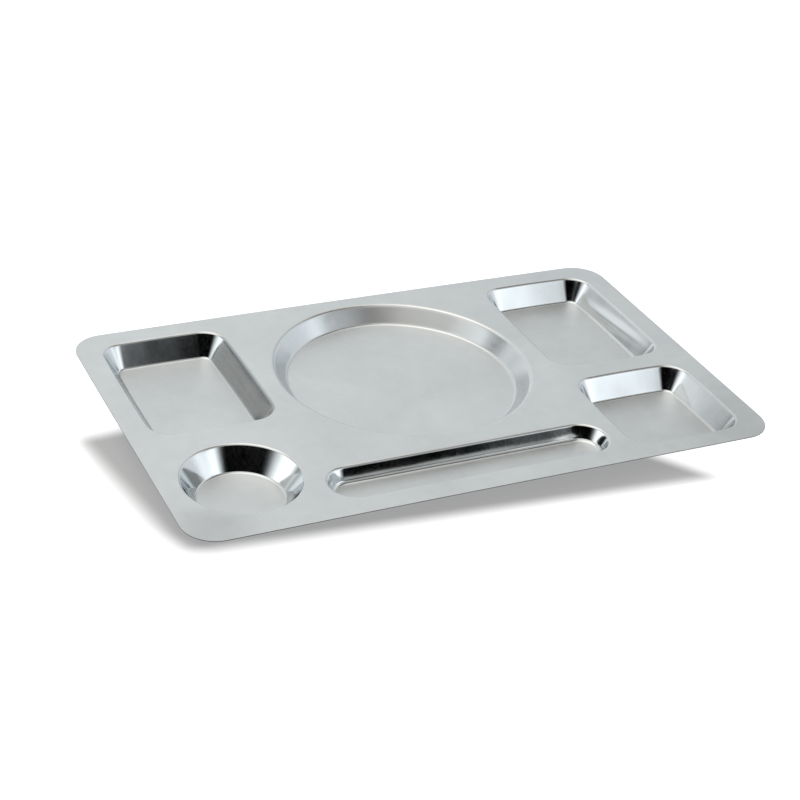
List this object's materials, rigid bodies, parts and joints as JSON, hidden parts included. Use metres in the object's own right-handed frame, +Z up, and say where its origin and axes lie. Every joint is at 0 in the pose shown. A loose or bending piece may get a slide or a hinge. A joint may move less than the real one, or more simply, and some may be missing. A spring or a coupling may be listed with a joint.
{
  "type": "divided compartment plate",
  "caption": "Flat rectangular pressed-steel serving tray with separate wells for a main dish, side dishes, a cup and cutlery.",
  "frame": {"origin": "centre of the tray's outline, on the surface that it stands on", "axes": "+X to the right along the tray's length, +Y to its back edge, away from the cutlery slot, +Z up"},
  "size_m": [0.53, 0.325, 0.0208],
  "materials": {
    "steel": "satin stainless sheet, brighter on the drawn walls of the wells"
  },
  "bodies": {
    "root": {"tray": "steel"}
  },
  "joints": []
}
